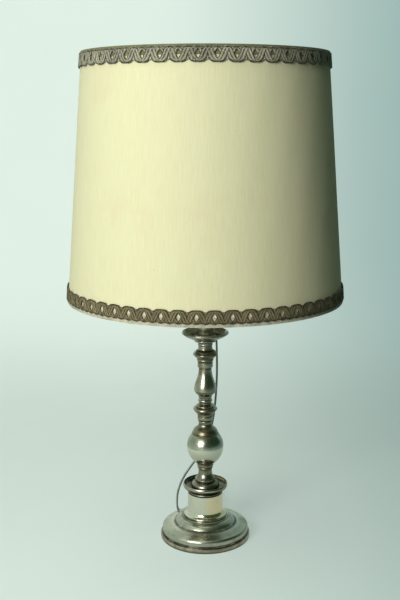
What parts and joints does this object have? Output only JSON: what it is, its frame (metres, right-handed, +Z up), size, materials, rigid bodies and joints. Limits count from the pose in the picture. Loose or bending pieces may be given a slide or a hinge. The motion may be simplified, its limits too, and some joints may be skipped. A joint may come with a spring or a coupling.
{
  "type": "candlestick table lamp",
  "caption": "Turned silver-plated candlestick on a stepped round foot, wired as a table lamp, with a lampholder, a tapered cream drum shade with braided edges and a flat flex with plug.",
  "frame": {"origin": "on the lamp's axis, in the plane that its felt pad stands on", "axes": "+Z up along the candlestick; -Y is the front, and the flex leaves at the back, towards +Y"},
  "size_m": [0.4008, 0.4008, 0.7181],
  "materials": {
    "silver": "silver plate, polished, with a warm olive tarnish in the grooves",
    "iron": "rough casting",
    "steel": "zinc-plated steel",
    "brass_plate": "drawn brass, satin lacquer",
    "felt": "pressed felt",
    "rubber": "black rubber",
    "bush_plastic": "moulded bush, satin",
    "porcelain": "glazed porcelain",
    "bulb_glass": "frosted glass",
    "clear_glass": "clear glass",
    "tungsten": "bright wire",
    "cap_metal": "rolled thread, bright",
    "frame_wire": "brassed steel wire, dull",
    "shade_cloth": "slubbed cream cloth",
    "lining_cloth": "smooth off-white lining",
    "tape": "woven olive tape",
    "hem_tape": "woven cream tape",
    "braid_thread": "metallic brown-silver braid",
    "flex_pvc": "grey-green flexible plastic, satin",
    "plug_plastic": "grey-green moulded plastic",
    "tie_band": "soft black band"
  },
  "bodies": {
    "lamp": {"felt_pad": "felt", "foot_shell": "silver", "foot_weight": "iron", "foot_washer": "steel", "foot_nut": "steel", "tie_rod": "steel", "drum": "silver", "drum_moulding": "silver", "drip_dish": "silver", "stem_spool": "silver", "ball_seat": "silver", "ball_lower_half": "silver", "ball_upper_half": "silver", "bell_cap": "silver", "lower_collar": "silver", "lower_knop": "silver", "bead_ring": "silver", "baluster": "silver", "upper_collar": "silver", "upper_knop": "silver", "pan_neck": "silver", "drip_pan": "silver", "candle_nozzle": "silver", "rod_nut": "steel", "adapter_sleeve": "rubber", "adapter_body": "brass_plate", "cord_bush": "bush_plastic", "holder_nipple": "steel", "holder_cap": "brass_plate", "holder_shell": "brass_plate", "holder_insert": "porcelain", "contact_shell": "brass_plate", "contact_centre": "brass_plate", "terminal_screws": "steel", "ring_nut": "brass_plate", "cord_drop": "flex_pvc", "cord_hank": "flex_pvc", "cord_tail": "flex_pvc", "hank_tie": "tie_band", "plug_body": "plug_plastic", "plug_pins": "cap_metal", "plug_sleeve": "plug_plastic"},
    "carrier": {"carrier_base": "frame_wire", "carrier_arms": "frame_wire", "carrier_gallery": "frame_wire"},
    "shade": {"shade_top_frame": "frame_wire", "shade_bottom_ring": "frame_wire", "shade_lining": "lining_cloth", "shade_cover": "shade_cloth", "top_binding": "tape", "bottom_binding": "hem_tape", "top_braid": "braid_thread", "bottom_braid": "braid_thread"},
    "bulb": {"bulb_tip": "cap_metal", "bulb_cap": "cap_metal", "bulb_glass": "bulb_glass", "bulb_stem": "clear_glass", "bulb_filament": "tungsten"},
    "key": {"key_shaft": "steel", "switch_key": "brass_plate"}
  },
  "joints": [
    {"name": "carrier_turn", "type": "hinge", "parent": "lamp", "child": "carrier", "pos_m": [0, 0, 0.3889], "axis": [0, 0, 1], "continuous": true},
    {"name": "shade_lift", "type": "slide", "parent": "carrier", "child": "shade", "axis": [0, 0, 1], "range_m": [0, 0.32]},
    {"name": "bulb_lift", "type": "slide", "parent": "lamp", "child": "bulb", "axis": [0, 0, 1], "range_m": [0, 0.35]},
    {"name": "switch_turn", "type": "hinge", "parent": "lamp", "child": "key", "pos_m": [0.02, 0, 0.38027], "axis": [1, 0, 0], "continuous": true}
  ]
}
